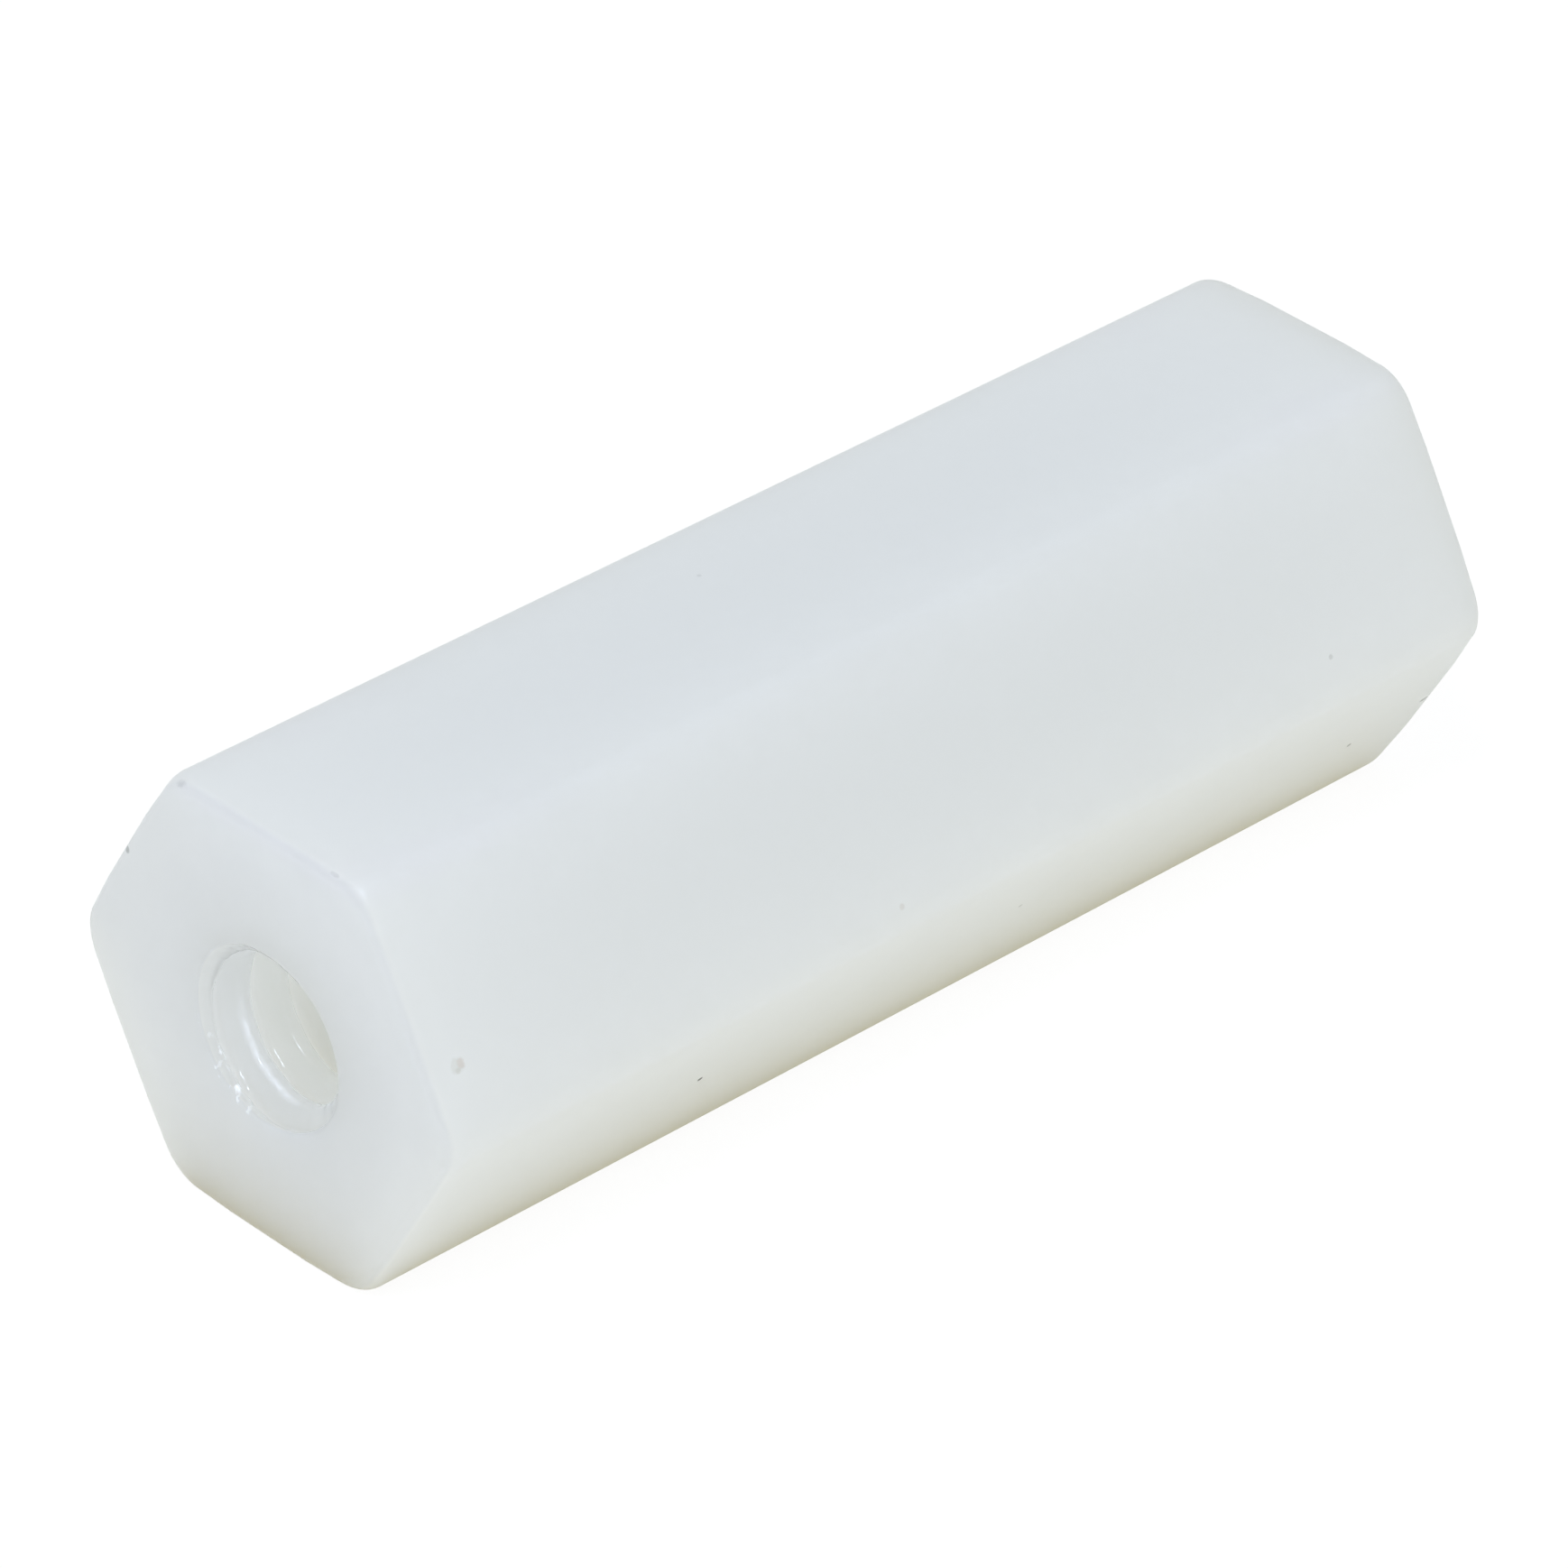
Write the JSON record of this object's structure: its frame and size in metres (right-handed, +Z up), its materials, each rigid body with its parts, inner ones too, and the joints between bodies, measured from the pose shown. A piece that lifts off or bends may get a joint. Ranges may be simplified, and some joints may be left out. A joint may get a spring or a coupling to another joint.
{
  "type": "hex standoff",
  "caption": "Hexagonal spacer of natural nylon with a threaded hole running through it from end face to end face, to hold a circuit board off a chassis or another board.",
  "frame": {"origin": "middle of the flat that the standoff lies on, which is the bottom centre of its box", "axes": "+X along the hexagon's long axis, +Z up from the flat it lies on, +Y across the hexagon's corners"},
  "size_m": [0.019, 0.0072, 0.0063],
  "materials": {
    "nylon": "natural milky white nylon, slightly translucent, smooth satin surface"
  },
  "bodies": {
    "root": {"standoff": "nylon"}
  },
  "joints": []
}
